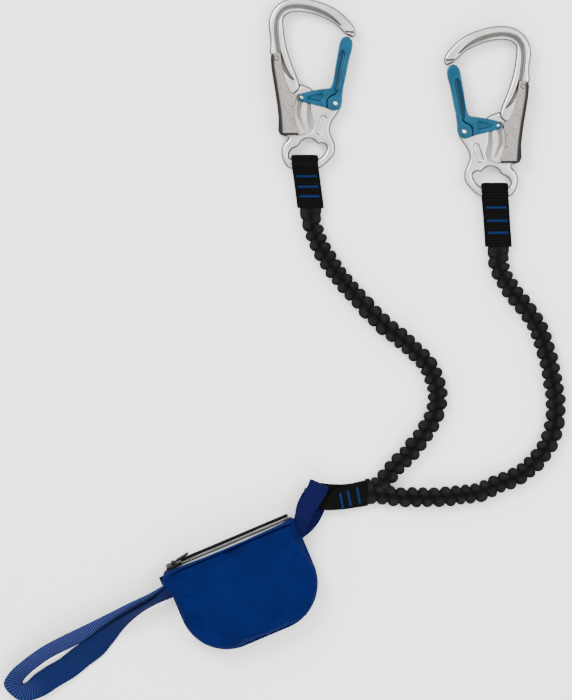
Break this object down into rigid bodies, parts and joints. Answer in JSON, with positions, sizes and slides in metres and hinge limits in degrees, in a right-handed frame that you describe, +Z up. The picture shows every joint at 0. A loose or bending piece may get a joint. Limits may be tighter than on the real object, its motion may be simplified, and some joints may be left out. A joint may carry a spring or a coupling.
{
  "type": "via ferrata lanyard",
  "caption": "Y-shaped via ferrata lanyard: palm-lever carabiners on ribbed elastic arms, sewn to a yoke that is linked to a tear-webbing absorber in a zipped pouch with a harness loop.",
  "frame": {"origin": "centre of the lanyard's footprint on the surface that it lies on, the elastic arms left out", "axes": "+Z up out of the surface, +Y towards the carabiners' noses, +X to the right in the picture"},
  "size_m": [0.4212, 0.5264, 0.024],
  "materials": {
    "forged_aluminium": "brushed silver anodising",
    "blue_anodised": "satin teal blue anodising",
    "housing_alloy": "satin brown-grey coating",
    "pin_steel": "bright",
    "black_webbing": "woven, matt",
    "blue_webbing": "woven, matt",
    "blue_thread": "bar tack stitching",
    "pouch_fabric": "plain weave, matt",
    "zip_grey": "moulded teeth and grey tape",
    "zip_black": "black paint"
  },
  "bodies": {
    "lanyard": {"absorber_band": "black_webbing", "absorber_loop": "blue_webbing", "absorber_pack": "blue_webbing", "arm_left": "black_webbing", "arm_right": "black_webbing", "harness_loop": "blue_webbing", "pouch_back": "pouch_fabric", "pouch_front": "pouch_fabric", "side_tab": "pouch_fabric", "strap_left": "black_webbing", "strap_left_tack_1": "blue_thread", "strap_left_tack_2": "blue_thread", "strap_left_tack_3": "blue_thread", "strap_right": "black_webbing", "strap_right_tack_1": "blue_thread", "strap_right_tack_2": "blue_thread", "strap_right_tack_3": "blue_thread", "yoke_strap": "black_webbing", "yoke_tack_1": "blue_thread", "yoke_tack_2": "blue_thread", "yoke_tack_3": "blue_thread", "zip_box": "zip_black", "zip_tape_back": "zip_grey", "zip_tape_front": "zip_grey", "zip_teeth_back": "zip_grey", "zip_teeth_front": "zip_grey"},
    "carabiner_left": {"frame_left": "forged_aluminium", "gate_pin_left": "pin_steel", "palm_pin_left": "pin_steel", "gate_spring_left": "pin_steel", "palm_spring_left": "pin_steel"},
    "gate_left_body": {"gate_left": "blue_anodised", "latch_pin_left": "pin_steel"},
    "palm_lever_left_body": {"palm_lever_left": "housing_alloy", "lock_plate_left": "forged_aluminium", "lock_rivet_upper_left": "pin_steel", "lock_rivet_lower_left": "pin_steel"},
    "carabiner_right": {"frame_right": "forged_aluminium", "gate_pin_right": "pin_steel", "palm_pin_right": "pin_steel", "gate_spring_right": "pin_steel", "palm_spring_right": "pin_steel"},
    "gate_right_body": {"gate_right": "blue_anodised", "latch_pin_right": "pin_steel"},
    "palm_lever_right_body": {"palm_lever_right": "housing_alloy", "lock_plate_right": "forged_aluminium", "lock_rivet_upper_right": "pin_steel", "lock_rivet_lower_right": "pin_steel"},
    "slider": {"zip_slider": "zip_black"},
    "puller": {"zip_puller": "zip_black"}
  },
  "joints": [
    {"name": "carabiner_swing_left", "type": "hinge", "parent": "lanyard", "child": "carabiner_left", "pos_m": [0.02825, 0.14024, 0.0071], "axis": [1, 0, 0], "range_deg": [0, 85]},
    {"name": "gate_left", "type": "hinge", "parent": "carabiner_left", "child": "gate_left_body", "pos_m": [0.05121, 0.18511, 0.0071], "axis": [0, 0, 1], "range_deg": [0, 24], "stiffness_Nm_per_rad": 0.05, "springref_deg": -17.19},
    {"name": "palm_lever_left", "type": "hinge", "parent": "carabiner_left", "child": "palm_lever_left_body", "pos_m": [0.00726, 0.2189, 0.0071], "axis": [0, 0, 1], "range_deg": [0, 3.5], "stiffness_Nm_per_rad": 0.05, "springref_deg": -5.73},
    {"name": "carabiner_swing_right", "type": "hinge", "parent": "lanyard", "child": "carabiner_right", "pos_m": [0.17071, 0.11924, 0.0071], "axis": [1, 0, 0], "range_deg": [0, 85]},
    {"name": "gate_right", "type": "hinge", "parent": "carabiner_right", "child": "gate_right_body", "pos_m": [0.14774, 0.16411, 0.0071], "axis": [0, 0, -1], "range_deg": [0, 24], "stiffness_Nm_per_rad": 0.05, "springref_deg": -17.19},
    {"name": "palm_lever_right", "type": "hinge", "parent": "carabiner_right", "child": "palm_lever_right_body", "pos_m": [0.1917, 0.1979, 0.0071], "axis": [0, 0, -1], "range_deg": [0, 3.5], "stiffness_Nm_per_rad": 0.05, "springref_deg": -5.73},
    {"name": "zip_slide", "type": "slide", "parent": "lanyard", "child": "slider", "axis": [0.9212, 0.3891, 0], "range_m": [0, 0.08]},
    {"name": "puller_flap", "type": "hinge", "parent": "slider", "child": "puller", "pos_m": [-0.07049, -0.15863, 0.01345], "axis": [0.1202, -0.2847, 0.9511], "range_deg": [-10, 150]}
  ],
  "couplings": [
    {"joint": "palm_lever_left", "follows": "gate_left", "ratio": 0.14583},
    {"joint": "palm_lever_right", "follows": "gate_right", "ratio": 0.14583}
  ]
}
